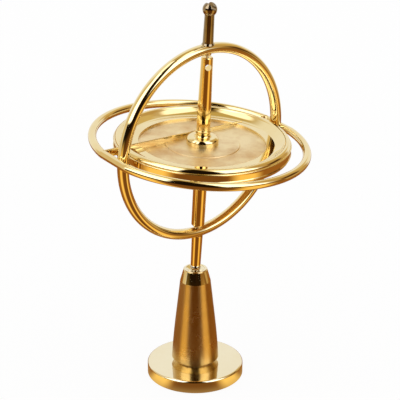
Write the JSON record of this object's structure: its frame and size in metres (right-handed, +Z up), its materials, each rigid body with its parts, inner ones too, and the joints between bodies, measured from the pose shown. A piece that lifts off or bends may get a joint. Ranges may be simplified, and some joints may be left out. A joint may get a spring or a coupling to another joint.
{
  "type": "demonstration gyroscope on a pedestal",
  "caption": "Gold-coloured metal gyroscope: a heavy rotor spins inside crossed rings that lean on a ball foot in the cup of a tapered pedestal with a round base.",
  "frame": {"origin": "centre of the base disc's flat underside", "axes": "+Z up along the pedestal's axis, -Y towards the side that the picture shows"},
  "size_m": [0.0747, 0.0749, 0.1357],
  "materials": {
    "polished_brass": "mirror-polished gold-coloured plating",
    "satin_brass": "satin turned, gold-coloured",
    "turned_brass": "finely turned, concentric marks",
    "steel": "bright turned steel"
  },
  "bodies": {
    "stand": {"base_disc": "polished_brass", "pedestal_column": "satin_brass", "pivot_cup": "polished_brass", "base_screw": "steel"},
    "foot": {"foot_ball": "steel"},
    "frame": {"vertical_ring": "polished_brass", "horizontal_ring": "polished_brass", "top_stem": "polished_brass", "foot_stem": "polished_brass", "upper_bearing": "turned_brass", "lower_bearing": "turned_brass"},
    "rotor": {"rotor_rim": "polished_brass", "rotor_web": "turned_brass", "upper_collar": "polished_brass", "lower_collar": "polished_brass", "upper_spindle": "polished_brass", "lower_spindle": "polished_brass", "hub_stud": "steel", "upper_pivot_pin": "steel", "lower_pivot_pin": "steel"}
  },
  "joints": [
    {"name": "precession", "type": "hinge", "parent": "stand", "child": "foot", "pos_m": [0, 0, 0.0406], "axis": [0, 0, 1], "continuous": true},
    {"name": "lean", "type": "hinge", "parent": "foot", "child": "frame", "pos_m": [0, 0, 0.0406], "axis": [0.8018, 0.5976, 0], "range_deg": [-4.5, 50.5]},
    {"name": "rotor_spin", "type": "hinge", "parent": "frame", "child": "rotor", "pos_m": [0.0022, -0.00296, 0.08746], "axis": [0.0469, -0.0629, 0.9969], "continuous": true}
  ]
}
